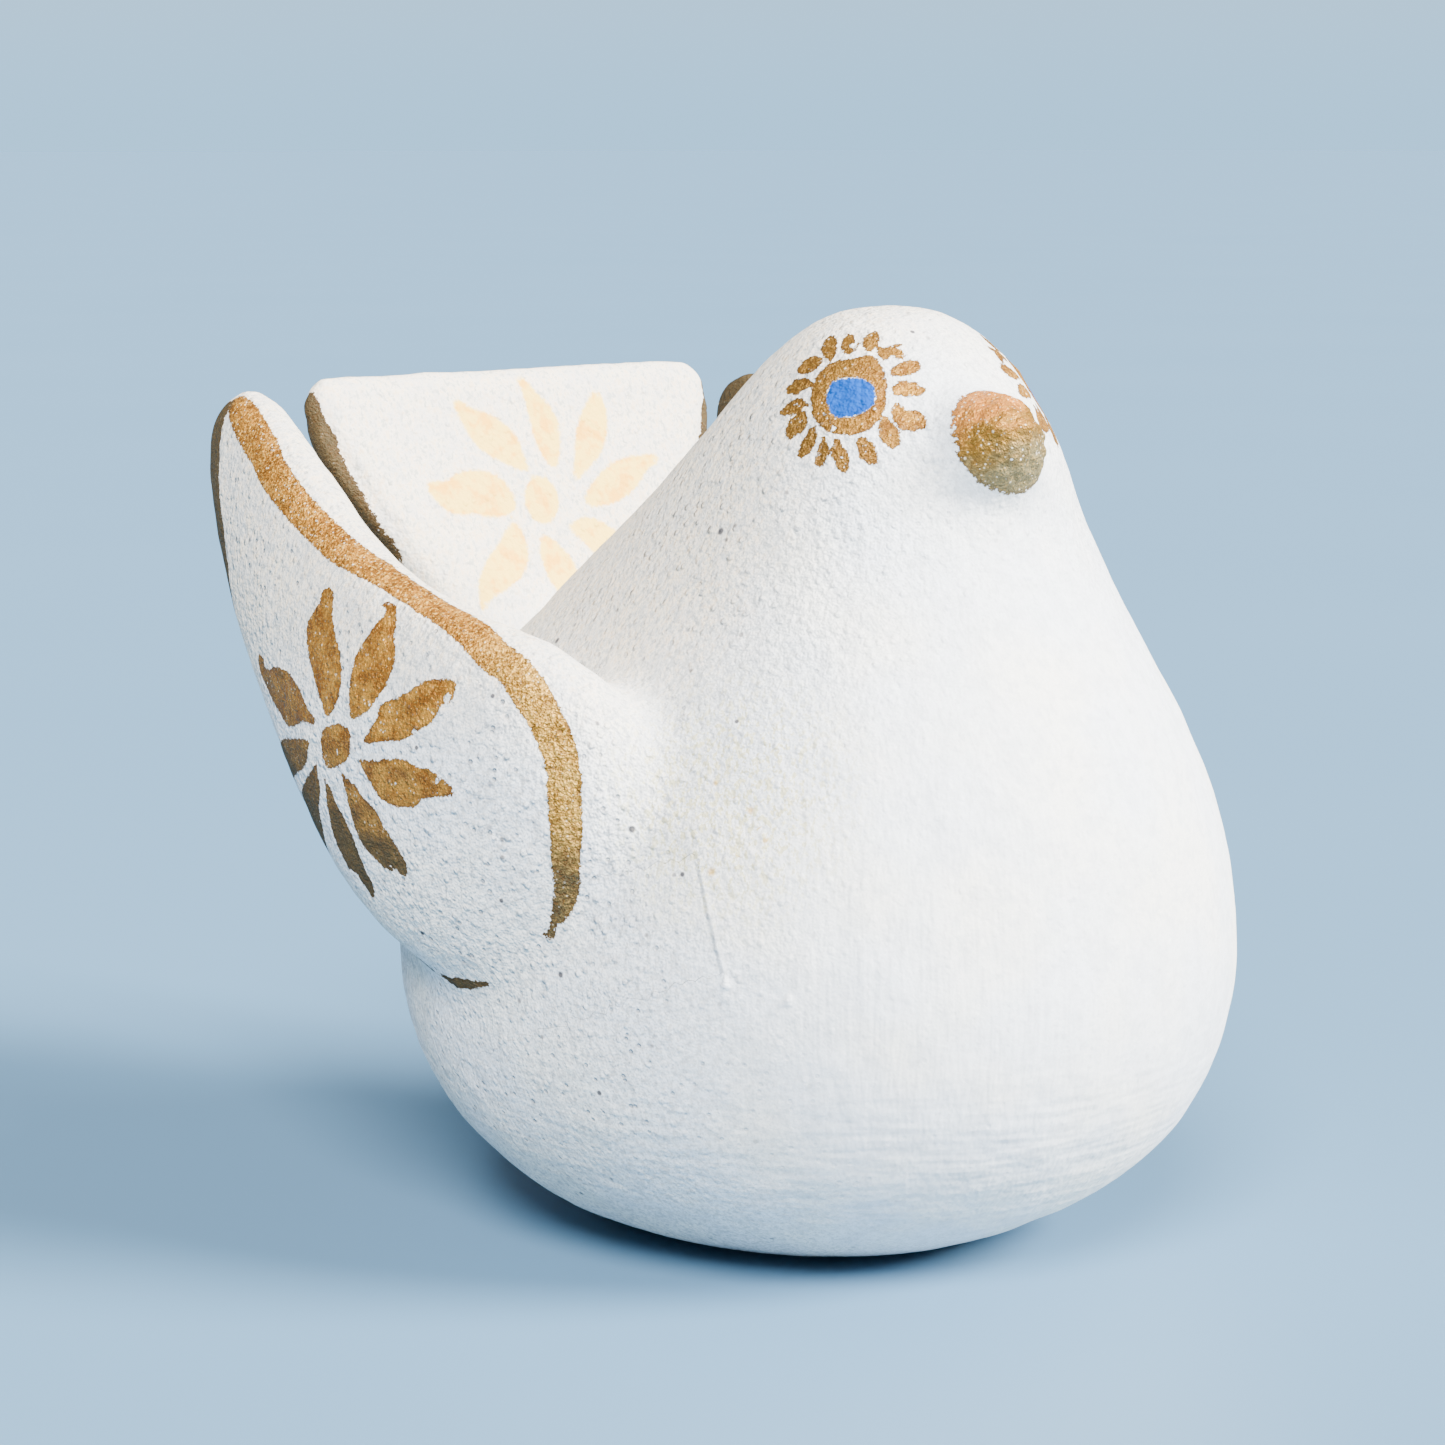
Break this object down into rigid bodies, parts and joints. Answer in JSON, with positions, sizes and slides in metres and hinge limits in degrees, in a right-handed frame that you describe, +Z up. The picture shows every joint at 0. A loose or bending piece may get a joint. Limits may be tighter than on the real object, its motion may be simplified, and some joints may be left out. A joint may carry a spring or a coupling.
{
  "type": "pottery dove figurine",
  "caption": "Small fired-clay dove ornament with a plump round body, stub beak, raised wings and an upright fan tail, white slip painted with gold petals and stripes; stands on a flat foot.",
  "frame": {"origin": "middle of the flat foot on the underside", "axes": "+Z up, -Y towards the beak, -X towards the dove's right wing"},
  "size_m": [0.0848, 0.0899, 0.0827],
  "materials": {
    "white_slip": "chalky matt white slip with brush marks, painted with gold petals and stripes and blue pupils"
  },
  "bodies": {
    "root": {"dove": "white_slip"}
  },
  "joints": []
}
